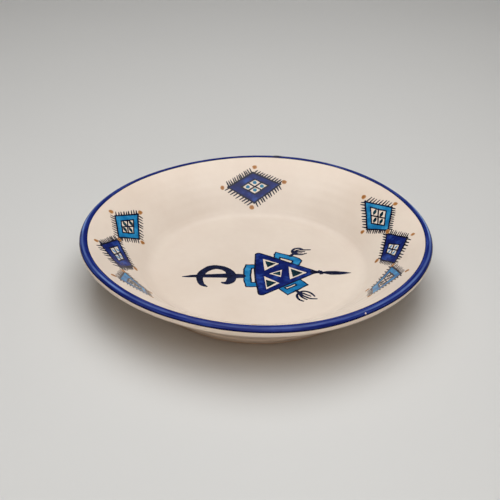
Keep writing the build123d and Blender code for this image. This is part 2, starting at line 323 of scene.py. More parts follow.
def wavering(x, y, scale, seed):
    """Smooth random numbers from about -1 to 1 over a plane, which change over about scale."""
    chance = np.random.default_rng(SEED + seed)
    total = np.zeros_like(x)
    for _ in range(6):
        heading, phase = chance.uniform(0, 2 * math.pi, 2)
        pitch = scale * chance.uniform(0.7, 1.6)
        total += np.sin((x * math.cos(heading) + y * math.sin(heading)) * 2 * math.pi / pitch + phase)
    return total / 3


def smooth_path(points, pieces=6):
    """A smooth curve through the points of a brush stroke, each with x, y and half its width."""
    knots = np.array([points[0], *points, points[-1]], float)
    path = []
    for a, b, c, d in zip(knots, knots[1:], knots[2:], knots[3:]):
        for t in np.arange(pieces) / pieces:
            path.append(0.5 * (2 * b + (c - a) * t + (2 * a - 5 * b + 4 * c - d) * t * t
                               + (3 * b - a - 3 * c + d) * t ** 3))
    path.append(knots[-1])
    return np.array(path)


class Layer:
    """A layer of one colour: distances to its edge on a painter's view, below 0 where it is painted."""

    def __init__(self, low, high, cell=CELL):
        self.cell = cell
        self.low = np.array(low, float)
        across = np.arange(low[0], high[0] + cell, cell)
        upward = np.arange(low[1], high[1] + cell, cell)
        self.x, self.y = np.meshgrid(across, upward, indexing="ij")
        self.field = np.full(self.x.shape, NOTHING)

    def window(self, points, margin):
        """The part of the grid around some points."""
        first = np.floor((points.min(0) - margin - self.low) / self.cell).astype(int)
        last = np.ceil((points.max(0) + margin - self.low) / self.cell).astype(int) + 1
        return tuple(slice(*ends) for ends in zip(np.maximum(first, 0), np.maximum(last, 0)))

    def polygon(self, corners, grow):
        """The grid around a polygon that grows outwards, and signed distances to it, negative inside."""
        corners = np.array(corners, float)
        at = self.window(corners, 2.0 + grow)
        x, y = self.x[at], self.y[at]
        nearest = np.full(x.shape, 1e9)
        inside = np.zeros(x.shape, bool)
        for (ax, ay), (bx, by) in zip(corners, np.roll(corners, -1, axis=0)):
            dx, dy = bx - ax, by - ay
            t = np.clip(((x - ax) * dx + (y - ay) * dy) / (dx * dx + dy * dy), 0, 1)
            nearest = np.minimum(nearest, np.hypot(x - ax - t * dx, y - ay - t * dy))
            crosses = (ay > y) != (by > y)
            inside ^= crosses & (x < ax + (y - ay) * dx / (dy if dy else 1e-9))
        return at, np.where(inside, -nearest, nearest) - grow

    def fill(self, corners, grow=0.0):
        """Paints a polygon."""
        at, distance = self.polygon(corners, grow)
        self.field[at] = np.minimum(self.field[at], distance)

    def ring(self, corners, grow, half):
        """Paints a line round a polygon."""
        at, distance = self.polygon(corners, grow)
        self.field[at] = np.minimum(self.field[at], np.abs(distance) - half)

    def leave(self, corners, grow=0.0):
        """Leaves a polygon unpainted."""
        at, distance = self.polygon(corners, grow)
        self.field[at] = np.maximum(self.field[at], -distance)

    def stroke(self, points, spread=0.0):
        """Paints a brush stroke through points, each with x, y and a half width that spread adds to."""
        path = smooth_path(points)
        path[:, 2] += spread
        at = self.window(path[:, :2], path[:, 2].max() + 1.5)
        x, y = self.x[at], self.y[at]
        for (ax, ay, aw), (bx, by, bw) in zip(path, path[1:]):
            dx, dy = bx - ax, by - ay
            t = np.clip(((x - ax) * dx + (y - ay) * dy) / (dx * dx + dy * dy + 1e-9), 0, 1)
            reach = np.hypot(x - ax - t * dx, y - ay - t * dy) - (aw + (bw - aw) * t)
            self.field[at] = np.minimum(self.field[at], reach)

    def waver(self, amount, scale, seed):
        """Makes the edges uneven."""
        self.field += amount * wavering(self.x, self.y, scale, seed)

    def clipped(self):
        """The paint's outline cut out of the grid: flat points, their distances, and faces."""
        rows, columns = self.x.shape
        index = np.arange(rows * columns).reshape(rows, columns)
        a, b = index[:-1, :-1].ravel(), index[1:, :-1].ravel()
        c, d = index[1:, 1:].ravel(), index[:-1, 1:].ravel()
        corners = np.concatenate([np.stack([a, b, c], 1), np.stack([a, c, d], 1)])
        values = self.field.ravel()
        inside = values[corners] < 0
        count = inside.sum(1)
        faces = [tuple(t) for t in corners[count == 3].tolist()]
        cuts = {}

        def cut(p, q):
            """The number of the point where the paint's edge crosses a grid edge."""
            return cuts.setdefault((min(p, q), max(p, q)), rows * columns + len(cuts))

        for triangle, odd in zip(corners[count == 1].tolist(), inside[count == 1].argmax(1)):
            p, q, r = triangle[odd], triangle[(odd + 1) % 3], triangle[(odd + 2) % 3]
            faces.append((p, cut(p, q), cut(p, r)))
        for triangle, odd in zip(corners[count == 2].tolist(), (~inside[count == 2]).argmax(1)):
            p, q, r = triangle[odd], triangle[(odd + 1) % 3], triangle[(odd + 2) % 3]
            faces.append((q, r, cut(p, r), cut(p, q)))
        x, y = self.x.ravel(), self.y.ravel()
        first, second = np.array(list(cuts)).T
        share = values[first] / (values[first] - values[second])
        x = np.concatenate([x, x[first] + (x[second] - x[first]) * share])
        y = np.concatenate([y, y[first] + (y[second] - y[first]) * share])
        values = np.concatenate([values, np.zeros(len(cuts))])
        used = sorted({p for face in faces for p in face})
        renumber = {p: k for k, p in enumerate(used)}
        faces = [tuple(renumber[p] for p in face) for face in faces]
        return x[used], y[used], -values[used], faces

    def piece(self, name, place, lift, bulge=0.0):
        """The layer as a thin closed piece, its edge at lift and its middle higher by bulge."""
        x, y, depth, faces = self.clipped()
        height = lift + bulge * (1 - np.exp(-depth / BULGE_REACH))
        top = onto_plate(place, x, y, height)
        bottom = onto_plate(place, x, y, np.full(len(x), -PAINT_SINK))
        return thin_piece(name, top, bottom, faces, np.clip(depth / POOL_WIDTH, 0, 1))


# ---- Materials ----
def srgb(*colour):
    """A colour given as three display values from 0 to 255."""
    return tuple(v / 255 / 12.92 if v <= 10 else ((v / 255 + 0.055) / 1.055) ** 2.4 for v in colour)


class Nodes:
    """The nodes of a material or of the room, with short calls that add to them."""

    def __init__(self, owner):
        owner.use_nodes = True
        self.owner = owner
        self.tree = owner.node_tree
        self.shader = next(n for n in self.tree.nodes if n.type in ("BSDF_PRINCIPLED", "BACKGROUND"))
        self.place = self.add("ShaderNodeTexCoord").outputs["Object"]

    def add(self, kind, **settings):
        """Adds a node."""
        node = self.tree.nodes.new(kind)
        for key, value in settings.items():
            setattr(node, key, value)
        return node

    def link(self, source, target):
        """Links an output to an input."""
        self.tree.links.new(source, target)

    def feed(self, value, target):
        """Gives an input a number, a colour, or the output to link it to."""
        if isinstance(value, bpy.types.NodeSocket):
            self.link(value, target)
        else:
            target.default_value = (*value, 1) if isinstance(value, tuple) else value

    def noise(self, size, detail=3.0, roughness=0.5, vector=None):
        """Noise whose features are about size metres across."""
        node = self.add("ShaderNodeTexNoise")
        for key, value in (("Scale", 1 / size), ("Detail", detail), ("Roughness", roughness)):
            node.inputs[key].default_value = value
        self.link(vector or self.place, node.inputs["Vector"])
        return node.outputs["Fac"]

    def attribute(self, name):
        """Numbers that the mesh holds at its points."""
        return self.add("ShaderNodeAttribute", attribute_name=name).outputs["Fac"]

    def ramp(self, source, *stops):
        """A colour ramp with stops of place and colour."""
        node = self.add("ShaderNodeValToRGB")
        elements = node.color_ramp.elements
        while len(elements) < len(stops):
            elements.new(0.5)
        for element, (where, colour) in zip(elements, stops):
            element.position = where
            element.color = (*colour, 1)
        self.link(source, node.inputs["Fac"])
        return node.outputs["Color"]

    def span(self, source, low, high, start=0.0, end=1.0):
        """Maps low to high of a number onto start to end."""
        node = self.add("ShaderNodeMapRange", clamp=True)
        for key, value in zip(("From Min", "From Max", "To Min", "To Max"), (low, high, start, end)):
            node.inputs[key].default_value = value
        self.link(source, node.inputs["Value"])
        return node.outputs["Result"]

    def mix(self, factor, first, second):
        """Mixes two colours."""
        node = self.add("ShaderNodeMix", data_type="RGBA")
        for value, socket in zip((factor, first, second), (s for s in node.inputs if s.enabled)):
            self.feed(value, socket)
        return next(s for s in node.outputs if s.enabled)

    def times(self, first, second):
        """Multiplies two numbers."""
        node = self.add("ShaderNodeMath", operation="MULTIPLY")
        for value, socket in zip((first, second), node.inputs):
            self.feed(value, socket)
        return node.outputs["Value"]

    def shade(self, colour, roughness, ior=None):
        """Feeds the shader its colour, its roughness and, where given, its index of refraction."""
        for name, value in (("Base Color", colour), ("Roughness", roughness), ("IOR", ior)):
            if value is not None:
                self.feed(value, self.shader.inputs[name])

    def bump(self, height, distance):
        """Bumps on the surface, up to distance metres high."""
        node = self.add("ShaderNodeBump")
        node.inputs["Strength"].default_value = 1.0
        node.inputs["Distance"].default_value = distance
        self.link(height, node.inputs["Height"])
        self.link(node.outputs["Normal"], self.shader.inputs["Normal"])


GLAZE_IOR = 1.3
BAND_IOR = 1.2


def glaze_material():
    """Off-white glaze: soft clouding, fine warmer patches at random, rare iron specks, an even gloss."""
    n = Nodes(bpy.data.materials.new("glaze"))
    clouds = n.noise(0.045, 4, 0.55)
    fine = n.noise(0.004, 3, 0.5)
    base = n.ramp(clouds, (0.30, srgb(219, 203, 187)), (0.5, srgb(223, 208, 193)),
                  (0.72, srgb(227, 213, 198)))
    base = n.mix(n.span(fine, 0.35, 0.75, 0.0, 0.12), base, srgb(214, 194, 178))
    specks = n.add("ShaderNodeTexVoronoi")
    specks.inputs["Scale"].default_value = 130.0
    n.link(n.place, specks.inputs["Vector"])
    chance = n.add("ShaderNodeSeparateColor")
    n.link(specks.outputs["Color"], chance.inputs["Color"])
    rare = n.span(chance.outputs["Red"], 0.965, 0.985)
    small = n.span(specks.outputs["Distance"], 0.03, 0.06, 1.0, 0.0)
    base = n.mix(n.times(n.times(rare, small), 0.45), base, srgb(150, 118, 92))
    n.shade(base, n.span(n.noise(0.02, 3), 0.3, 0.7, 0.16, 0.24), GLAZE_IOR)
    n.bump(n.noise(0.006, 2, 0.4), 0.00004)
    return n.owner


def clay_material():
    """Bare fired clay: buff pink, dry and fine grained."""
    n = Nodes(bpy.data.materials.new("clay"))
    grain = n.noise(0.0012, 4, 0.7)
    base = n.ramp(n.noise(0.02, 4), (0.3, srgb(204, 172, 146)), (0.7, srgb(216, 188, 164)))
    base = n.mix(n.span(grain, 0.45, 0.8, 0, 0.4), base, srgb(176, 138, 112))
    n.shade(base, n.span(grain, 0.3, 0.7, 0.75, 0.95))
    n.bump(grain, 0.00015)
    return n.owner


def paint_material(name, deep, middle, light, edge=None, grain=0.007, pooled=0.75):
    """Brushed colour, thin and light in places, and of another shade where it gathered at its edges."""
    deep, middle, light, edge = (srgb(*colour) for colour in (deep, middle, light, edge or deep))
    n = Nodes(bpy.data.materials.new(name))
    wash = n.noise(grain, 4, 0.6)
    fine = n.noise(grain / 5, 2, 0.5)
    base = n.ramp(wash, (0.32, deep), (0.5, middle), (0.70, light))
    base = n.mix(n.span(fine, 0.4, 0.7, 0.0, 0.35), base, deep)
    gathered = n.span(n.attribute("pool"), 0.0, 0.7, pooled, 0.0)
    base = n.mix(gathered, base, edge)
    n.shade(base, n.span(wash, 0.3, 0.7, 0.14, 0.24), GLAZE_IOR)
    return n.owner


def band_material():
    """The lip's cobalt: streaks, a pale crest that is partly a painted highlight and partly thinner paint,
    dark pigment gathered at its inner edge, and a dark outer side that is partly painted shade and partly
    gathered pigment.
    """
    n = Nodes(bpy.data.materials.new("cobalt_band"))
    across = n.attribute("across")
    spread = n.add("ShaderNodeCombineXYZ")
    n.link(n.times(across, 0.10), spread.inputs["Z"])
    shifted = n.add("ShaderNodeVectorMath", operation="ADD")
    n.link(n.place, shifted.inputs[0])
    n.link(spread.outputs["Vector"], shifted.inputs[1])
    streaks = n.noise(0.022, 4, 0.65, shifted.outputs["Vector"])
    clouds = n.noise(0.012, 3, 0.5)
    base = n.ramp(streaks, (0.32, srgb(14, 24, 90)), (0.5, srgb(24, 38, 110)),
                  (0.68, srgb(50, 70, 142)))
    base = n.mix(n.span(clouds, 0.45, 0.75, 0.0, 0.5), base, srgb(28, 32, 100))
    # The pale crest is partly a painted highlight, strongest at the plate's left and right, and partly
    # paint that is thinner on the crest.
    crest = n.times(n.span(across, 0.34, 0.43), n.span(across, 0.50, 0.62, 1.0, 0.0))
    crest = n.times(crest, n.span(n.noise(0.030, 3, 0.5), 0.38, 0.62, 0.3, 0.9))
    crest = n.times(crest, n.attribute("thin"))
    base = n.mix(crest, base, srgb(128, 158, 216))
    # The dark outer side is partly painted shade of the lip's lower, outward face and partly pigment
    # gathered at that edge; the inner edge's dark line is gathered pigment.
    outer = n.span(across, 0.07, 0.19, 0.95, 0.0)
    inner = n.span(across, 0.88, 0.95, 0.0, 0.9)
    base = n.mix(outer, base, srgb(10, 10, 46))
    base = n.mix(inner, base, srgb(12, 14, 52))
    n.shade(base, n.span(clouds, 0.3, 0.7, 0.16, 0.26), BAND_IOR)
    n.bump(streaks, 0.00006)
    return n.owner


GLAZE_MATERIAL = glaze_material()
CLAY_MATERIAL = clay_material()
BAND_MATERIAL = band_material()
DARK_MATERIAL = paint_material("dark_blue", (6, 18, 80), (13, 32, 102), (42, 76, 156), (8, 14, 58))
LIGHT_MATERIAL = paint_material(
    "light_blue", (18, 96, 150), (28, 120, 172), (66, 156, 200), (10, 70, 120))
NAVY_MATERIAL = paint_material("navy_line", (12, 14, 30), (18, 22, 46), (34, 40, 70), pooled=0.3)
HOOP_MATERIAL = paint_material("brooch_navy", (16, 20, 44), (20, 26, 54), (34, 42, 76), pooled=0.4)
TEAL_MATERIAL = paint_material("dark_teal", (8, 30, 38), (16, 48, 58), (30, 76, 88), (8, 18, 30))
TURQUOISE_MATERIAL = paint_material(
    "turquoise", (20, 96, 132), (26, 112, 148), (48, 140, 158), (60, 132, 168), 0.003)
PALE_BLUE_MATERIAL = paint_material(
    "pale_blue", (24, 82, 138), (48, 116, 166), (92, 154, 190), (138, 176, 200), 0.003, 0.95)
ORANGE_MATERIAL = paint_material(
    "orange", (136, 84, 36), (160, 106, 56), (182, 130, 82), (198, 154, 110), 0.0025, 0.8)


def finish_piece(piece, material, slot, *nodes):
    """Gives a piece its material and its place in the frame."""
    piece.data.materials.append(material)
    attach(piece, "root")
    if nodes:
        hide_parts(*nodes)
    return piece


# ---- The pot itself ----
GLAZE_SINK = 0.15       # a coat's hidden face lies this far inside the clay


def build_pot():
    """The clay body and its three coats of glaze."""
    glazed = OUTLINE
    biscuit = moved_out(glazed, -GLAZE)
    below_lip = glazed[:, 1] < LIP_LEVEL
    lip_top = int(np.argmin(np.abs(glazed[:, 0] - LIP_CENTRE[0]) + RIM_RADIUS * below_lip))
    low = glazed[:, 1] < BARE_HEIGHT
    bare_start = int(np.argmax(low))
    bare_end = int(len(low) - np.argmax(low[::-1]))
    clay = biscuit.copy()
    clay[bare_start:bare_end] = glazed[bare_start:bare_end]
    under = moved_out(glazed, -GLAZE - GLAZE_SINK)

    def coat(name, first, last, node):
        """A coat of glaze over part of the outline."""
        outer = glazed[first:last]
        hidden = under[first:last]
        shell = lathe(name, np.concatenate([outer, hidden[::-1]]))
        return finish_piece(shell, GLAZE_MATERIAL, "white_glaze", node)

    finish_piece(lathe("clay", clay), CLAY_MATERIAL, "clay", "clay_body")
    coat("glaze_on_face", 0, lip_top + 1, "face_glaze")
    coat("glaze_on_back", lip_top, bare_start + 1, "back_glaze")
    coat("glaze_in_recess", bare_end - 1, len(glazed), "recess_glaze")


# The band goes round the lip's section from one angle to another, which each waver on the way round.
BAND_START, START_WAVER = math.radians(15), math.radians(3.5)
BAND_END, END_WAVER = math.radians(120), math.radians(2.0)
BAND_LIFT = 0.06
BAND_SEGMENTS = 720
BAND_STRIPS = 26            # faces across the band
CREST_HIGHLIGHT_LEAST = 0.15          # how strong the crest's painted highlight is at the back and front, as a share of that at the sides


def on_lip(angle, lift, circle_x, circle_y):
    """Points on the lip at an angle round its section, raised by lift, in directions round the plate."""
    radius = LIP_CENTRE[0] + (LIP_ROUND + lift) * np.cos(angle)
    height = LIP_CENTRE[1] + (LIP_ROUND + lift) * np.sin(angle)
    return np.stack([radius * circle_x, radius * circle_y, height], axis=1)


def build_band():
    """The blue band brushed over the lip, with slightly uneven edges."""
    turns = np.linspace(0, 2 * math.pi, BAND_SEGMENTS, endpoint=False)
    circle_x, circle_y = np.cos(turns), np.sin(turns)
    low_edge = BAND_START + START_WAVER * wavering(circle_x, circle_y, 0.5, 11)
    high_edge = BAND_END + END_WAVER * wavering(circle_x, circle_y, 0.4, 12)
    shares = np.linspace(0, 1, BAND_STRIPS + 1)
    profile = [(share, BAND_LIFT) for share in shares] + [(share, -PAINT_SINK) for share in shares[::-1]]
    points = [on_lip(low_edge + (high_edge - low_edge) * share, lift, circle_x, circle_y)
              for share, lift in profile]
    faces, sharp = [], []
    rows = len(profile)
    for row in range(rows):
        below, above = row * BAND_SEGMENTS, (row + 1) % rows * BAND_SEGMENTS
        for k in range(BAND_SEGMENTS):
            after = (k + 1) % BAND_SEGMENTS
            faces.append((below + k, below + after, above + after, above + k))
            if row in (0, BAND_STRIPS, BAND_STRIPS + 1, rows - 1):
                sharp.append((below + k, below + after))
    # The thin numbers set how strong the crest's painted highlight is round the plate: full at the left and
    # right, least at the back and front.
    values = {"across": np.repeat([share for share, _ in profile], BAND_SEGMENTS),
              "thin": np.tile(CREST_HIGHLIGHT_LEAST + (1 - CREST_HIGHLIGHT_LEAST) * circle_x ** 2, rows)}
    band = make_object("rim_band_paint", np.concatenate(points), faces, values, sharp)
    finish_piece(band, BAND_MATERIAL, "cobalt_band", "rim_band")


def lip_spot(name, azimuth, angle, half_long, half_wide, rise, material, slot):
    """A small uneven spot on the lip, at an angle round its section, and higher by rise in its middle."""
    rings, spokes = 6, 28
    shares = np.repeat(np.arange(1, rings + 1) / rings, spokes)
    turns = np.tile(np.linspace(0, 2 * math.pi, spokes, endpoint=False), rings)
    reach = shares * (1 + 0.25 * wavering(np.cos(turns), np.sin(turns), 1.5, 31))
    along = np.append(0.0, reach * np.cos(turns)) * half_long / RIM_RADIUS + math.radians(azimuth)
    around = np.append(0.0, reach * np.sin(turns)) * half_wide / LIP_ROUND + math.radians(angle)
    dome = BAND_LIFT + rise * (1 - np.append(0.0, shares) ** 2)
    top = on_lip(around, dome, np.cos(along), np.sin(along))
    bottom = on_lip(around, -PAINT_SINK, np.cos(along), np.sin(along))
    faces = []
    for k in range(spokes):
        after = (k + 1) % spokes
        faces.append((0, 1 + k, 1 + after))
        for ring in range(rings - 1):
            inner, outer = 1 + ring * spokes, 1 + (ring + 1) * spokes
            faces.append((inner + k, outer + k, outer + after, inner + after))
    spot = thin_piece(name, top, bottom, faces, np.ones(len(top)))
    finish_piece(spot, material, slot, "rim_band")


def build_rim_marks():
    """A drip of dark pigment at the back of the rim, and a small white spot on the band at its front right.
    """
    lip_spot("rim_drip", 82.5, 84, 4.4, 1.3, 0.30, NAVY_MATERIAL, "navy_line")
    # A small white spot on the blue band, in the glaze's colour.
    lip_spot("rim_white_spot", -56, 40, 0.6, 0.42, 0.02, GLAZE_MATERIAL, "white_glaze")


# ---- Painted tiles ----
# A tile is at an azimuth in degrees and a height up the wall. Its corners, window and dots are on a
# painter's view of the wall, in the order left, up, right and down, as seen from the plate's middle.
# Each side's fringe gives the count of strokes, their lean towards the next corner, and their length.
TILES = {
    "tile_back": dict(
        at=(91.5, 23.0), marks="dots",
        tile=((-18.2, -1.8), (-0.8, 10.2), (18.0, 0.3), (0, -13.2)),
        window=((-8.8, -1.3), (0.4, 5.0), (9.8, -0.4), (0.4, -6.8)),
        fringe=((13, 0.19, 4.0), (11, 0.45, 3.4), (11, 0.17, 3.4), (9, 0.44, 3.9)),
        dots=((-22.2, -2.4), (0.6, 14.6), (20.7, 1.8), (-1.8, -16.6))),
    "tile_right_back": dict(
        at=(26.5, 27.0), marks="leaves",
        tile=((-18.4, 2.2), (2.8, 11.0), (17.6, -2.7), (1.8, -11.2)),
        window=((-11.1, 1.6), (1.8, 6.4), (11.2, -1.9), (0.9, -6.2)),
        fringe=((9, 0.38, 4.0), (11, 0.45, 3.2), (11, -0.2, 3.0), (10, 0.5, 3.3)),
        dots=((-22.1, 3.6), (2.4, 14.4), (18.6, -3.6), (0.6, -14.4))),
    "tile_right": dict(
        at=(1.0, 24.5), marks="strokes",
        tile=((-18.9, -2.3), (-2.9, 10.0), (18.8, -1.8), (3.6, -11.0)),
        window=((-7.8, -2.9), (0.2, 3.9), (9.8, -0.8), (0.2, -6.2)),
        fringe=((11, -0.25, 3.3), (9, 0.6, 3.8), (10, -0.4, 2.6), (10, 0.6, 3.0)),
        dots=((-3.3, 14.2), (20.2, -3.0), (2.0, -14.0))),
    "tile_right_front": dict(
        at=(-25.5, 24.5), marks="leaves",
        tile=((-18.6, -3.2), (-2.1, 10.0), (17.6, -2.4), (3.6, -10.0)),
        window=((-11.0, -2.2), (-2.6, 4.4), (8.8, -1.2), (1.0, -6.0)),
        fringe=((10, -0.2, 3.0), (10, 0.4, 3.0), (8, -0.4, 3.2), (9, 0.5, 3.0)),
        dots=((-3.9, 13.4), (20.7, -2.8), (3.0, -13.6))),
    "tile_front": dict(
        at=(270.0, 24.5), marks="dots",
        tile=((-18.0, -1.2), (0.9, 10.4), (18.2, -0.9), (-0.4, -12.6)),
        window=((-9.2, -1.0), (0.2, 5.2), (9.4, -0.8), (-0.2, -6.6)),
        fringe=((12, 0.2, 3.6), (11, 0.35, 3.4), (11, 0.2, 3.4), (10, 0.35, 3.6)),
        dots=((-21.6, -1.6), (1.2, 14.6), (21.4, -1.4), (-0.6, -16.0))),
    "tile_left_front": dict(
        at=(213.5, 26.5), marks="leaves",
        tile=((-12.2, -3.8), (2.9, 8.9), (18.2, -4.2), (0.6, -10.5)),
        window=((-6.5, -3.0), (2.4, 3.2), (9.6, -3.2), (0.9, -7.0)),
        fringe=((9, -0.2, 2.9), (10, 0.3, 3.0), (10, 0.3, 2.9), (8, 0.4, 2.9)),
        dots=((-15.0, -4.4), (5.8, 11.6), (-1.4, -13.4))),
    "tile_left": dict(
        at=(188.5, 27.0), marks="strokes",
        tile=((-16.0, -2.5), (2.5, 9.4), (18.4, -2.6), (-3.7, -12.8)),
        window=((-7.2, -2.8), (3.6, 3.4), (11.0, -2.4), (-0.6, -6.9)),
        fringe=((9, 0.12, 4.4), (13, 0.25, 3.2), (10, 0.5, 2.8), (11, 0.6, 3.0)),
        dots=((-19.2, -4.4), (4.9, 12.7), (-4.7, -15.4))),
    "tile_left_back": dict(
        at=(164.0, 26.0), marks="leaves",
        tile=((-16.3, -1.6), (0.3, 9.0), (16.0, -1.5), (-2.8, -12.3)),
        window=((-9.1, -1.7), (-0.2, 4.0), (8.8, -1.6), (-1.9, -7.4)),
        fringe=((9, 0.25, 3.4), (9, 0.4, 3.2), (9, 0.3, 3.4), (9, 0.2, 3.2)),
        dots=((-18.4, -2.8), (1.4, 12.9), (18.4, -2.0), (-3.3, -15.6))),
}
TILE_LOW, TILE_HIGH = (-27, -21), (26, 19)      # the part of the view that a tile's layers cover
OUTLINE_HALF = 0.55         # half widths of the tiles' lines
FRINGE_HALF = 0.50
FRAME_HALF = 0.50
CROSS_HALF = 0.50
EVENNESS = (0.88, 1.12)     # a brush line's width varies between these shares
OVERRUN = 0.3               # it runs past its ends by this much
SHORT_OVERRUN = 0.1


def brushed_line(layer, a, b, half, chance, over=OVERRUN):
    """A line drawn with a brush: slightly bowed, run a little past its ends, its width uneven."""
    a, b = np.array(a, float), np.array(b, float)
    length = math.dist(a, b)
    side = np.array([b[1] - a[1], a[0] - b[0]]) / length
    points = []
    for t in (-over / length, 0.25, 0.5, 0.75, 1 + over / length):
        place = a + (b - a) * t + side * chance.normal(0, 0.08)
        points.append((*place, half * chance.uniform(*EVENNESS)))
    layer.stroke(points)


def draw_fringe(layer, a, b, chance, count, lean, length):
    """Short strokes that stand out from the side a to b, away from the tile's middle."""
    a, b = np.array(a, float), np.array(b, float)
    along = (b - a) / math.dist(a, b)
    out = np.array([-along[1], along[0]])
    for k in range(count):
        foot = a + (b - a) * ((k + 0.5 + 0.07 * chance.normal()) / count)
        tilt = lean + chance.normal(0, 0.04)
        reach = length * chance.uniform(0.95, 1.2) / math.hypot(1, tilt)
        step = (out + tilt * along) * reach
        middle = foot + step * 0.55 + along * chance.normal(0, 0.04)
        half = FRINGE_HALF * chance.uniform(*EVENNESS)
        layer.stroke([(*foot, half * 1.1), (*middle, half), (*(foot + step), half * 0.6)])


# Each long mark gives its half length, the spread of that, and its half widths from end to end.
LONG_MARKS = {
    "leaves": (1.6, (0.9, 1.15), (0.5, 1.3, 0.6)),
    "strokes": (1.2, (0.9, 1.1), (0.55, 1.0, 0.6)),
}
MARK_MATERIALS = {"leaves": TEAL_MATERIAL, "dots": TURQUOISE_MATERIAL, "strokes": PALE_BLUE_MATERIAL}


def draw_marks(layer, kind, heading, panes, chance):
    """A small mark in each pane: a dot, a dark leaf, or a blue stroke."""
    for pane in panes:
        x, y = np.mean(pane, axis=0) + chance.normal(0, 0.15, 2)
        if kind == "dots":
            layer.stroke([(x - 0.2, y, 1.2), (x, y + 0.1, 1.3), (x + 0.2, y, 1.2)])
            continue
        size, spread, halves = LONG_MARKS[kind]
        size *= chance.uniform(*spread)
        layer.stroke([(x + way * heading[0] * size, y + way * heading[1] * size, half)
                      for way, half in zip((-1, 0, 1), halves)])


def window_panes(window):
    """The four edge middles of a window, and its four panes, each a quadrilateral."""
    left, up, right, down = corners = np.array(window, float)
    middle = np.mean(corners, axis=0)
    edges = corners + (np.roll(corners, -1, axis=0) - corners) * 0.5
    return edges, [
        (left, edges[0], middle, edges[3]), (edges[0], up, edges[1], middle),
        (middle, edges[1], right, edges[2]), (edges[3], middle, edges[2], down)]


def build_tile(number, node, spec):
    """One painted tile: its fill, its dark lines and fringe, and the marks in its panes."""
    chance = np.random.default_rng(SEED + 100 + number)
    place = wall_place(*spec["at"])
    corners, window = spec["tile"], spec["window"]
    edges, panes = window_panes(window)
    fill = Layer(TILE_LOW, TILE_HIGH)
    fill.fill(corners)
    fill.leave(window)
    fill.waver(0.05, 3.0, number)
    lines = Layer(TILE_LOW, TILE_HIGH)
    for k in range(4):
        brushed_line(lines, corners[k], corners[(k + 1) % 4], OUTLINE_HALF, chance)
        brushed_line(lines, window[k], window[(k + 1) % 4], FRAME_HALF, chance, SHORT_OVERRUN)
        draw_fringe(lines, corners[k], corners[(k + 1) % 4], chance, *spec["fringe"][k])
    brushed_line(lines, edges[0], edges[2], CROSS_HALF, chance)
    brushed_line(lines, edges[1], edges[3], CROSS_HALF, chance)
    lines.waver(0.03, 1.6, number + 20)
    marks = Layer(TILE_LOW, TILE_HIGH, FINE_CELL)
    on_left = 90 < spec["at"][0] < 270
    heading = (0.5 if on_left else -0.5, 0.85)
    draw_marks(marks, spec["marks"], heading, panes, chance)
    marks.waver(0.06, 1.2, number + 40)
    is_light = spec["marks"] == "leaves"
    material, slot = (LIGHT_MATERIAL, "light_blue") if is_light else (DARK_MATERIAL, "dark_blue")
    mark_material = MARK_MATERIALS[spec["marks"]]
    finish_piece(fill.piece(node + "_fill", place, FILL_LIFT), material, slot, node)
    finish_piece(lines.piece(node + "_lines", place, LINE_LIFT), NAVY_MATERIAL, "navy_line", node)
    finish_piece(marks.piece(node + "_marks", place, MARK_LIFT), mark_material, "turquoise", "pane_marks")


DOT_HALF = 1.5


def build_dots():
    """The orange dots at the tiles' corners, a group of small blobs for each tile."""
    for number, (node, spec) in enumerate(TILES.items()):
        chance = np.random.default_rng(SEED + 200 + number)
        layer = Layer(TILE_LOW, TILE_HIGH, FINE_CELL)
        for x, y in spec["dots"]:
            half = DOT_HALF * chance.uniform(0.9, 1.12)
            nudge = chance.uniform(-0.35, 0.35, 2)
            layer.stroke([(x - nudge[0], y - nudge[1], half), (x + nudge[0], y + nudge[1], half * 0.9)])
        layer.waver(0.12, 2.2, number + 60)
        piece = layer.piece(node + "_dots", wall_place(*spec["at"]), DOT_LIFT, DOT_BULGE)
        finish_piece(piece, ORANGE_MATERIAL, "orange", "corner_dots")


# ---- The brooch on the well's floor, seen from above ----
BROOCH_LOW, BROOCH_HIGH = (-50, -42), (63, 29)      # the part of the floor that its layers cover
TRIANGLE = ((1.3, 16.3), (0.9, -7.0), (3.2, -29.8), (35.2, -3.8))
TRIANGLE_CORNER = 2.6       # its sides stand this far out, which rounds its corners
TRIANGLE_LINE = 0.5         # half the width of the dark line round it
BRACKET_LINE = 0.45         # and of the lines round the brackets
SLOT_LINE = 0.5             # and round their slots
PANE_GROW = 0.1             # a pane in the fill is larger than in the lines by this much
CORE_GROW = 0.45            # a core's sides stand this far out, which rounds its corners
BRUSH_SPREAD = 0.12         # added to the half widths of the strokes below
PANES = (
    ((4.2, 11.1), (14.2, 5.6), (5.1, -3.0)),
    ((4.9, -10.2), (14.2, -17.9), (6.2, -25.1)),
    ((8.2, -6.8), (16.0, -2.0), (15.2, -10.5)),
    ((20.5, 1.8), (31.8, -4.8), (21.1, -12.9)),
)
CORES = (
    ((6.0, 8.1), (11.6, 5.5), (7.2, 1.7)),
    ((6.2, -14.7), (11.8, -17.4), (6.9, -22.3)),
    ((10.6, -6.7), (14.7, -4.3), (14.7, -8.3)),
    ((22.2, -1.1), (28.7, -5.2), (23.2, -9.6)),
)
BRACKETS = (
    ((-0.2, 3.6), (-6.8, 3.7), (-8.1, -2.5), (-8.2, -10.0), (-7.8, -16.5), (-6.6, -22.7), (0.8, -22.5)),
    ((11.4, 12.0), (11.4, 17.0), (12.5, 19.9), (24.3, 14.5), (27.2, 12.9), (29.1, 9.8), (26.6, 2.6)),
    ((27.6, -13.0), (32.0, -19.3), (25.8, -25.5), (19.2, -31.3), (13.6, -24.0)),
)
SLOTS = (
    ((-1.5, -0.5), (-3.2, -0.6), (-3.8, -9.5), (-3.4, -17.3), (-0.6, -17.7)),
    ((15.0, 13.4), (23.3, 9.3), (22.4, 6.0), (14.9, 10.7)),
    ((17.6, -23.4), (24.2, -18.6), (25.0, -19.9), (19.0, -24.9)),
)
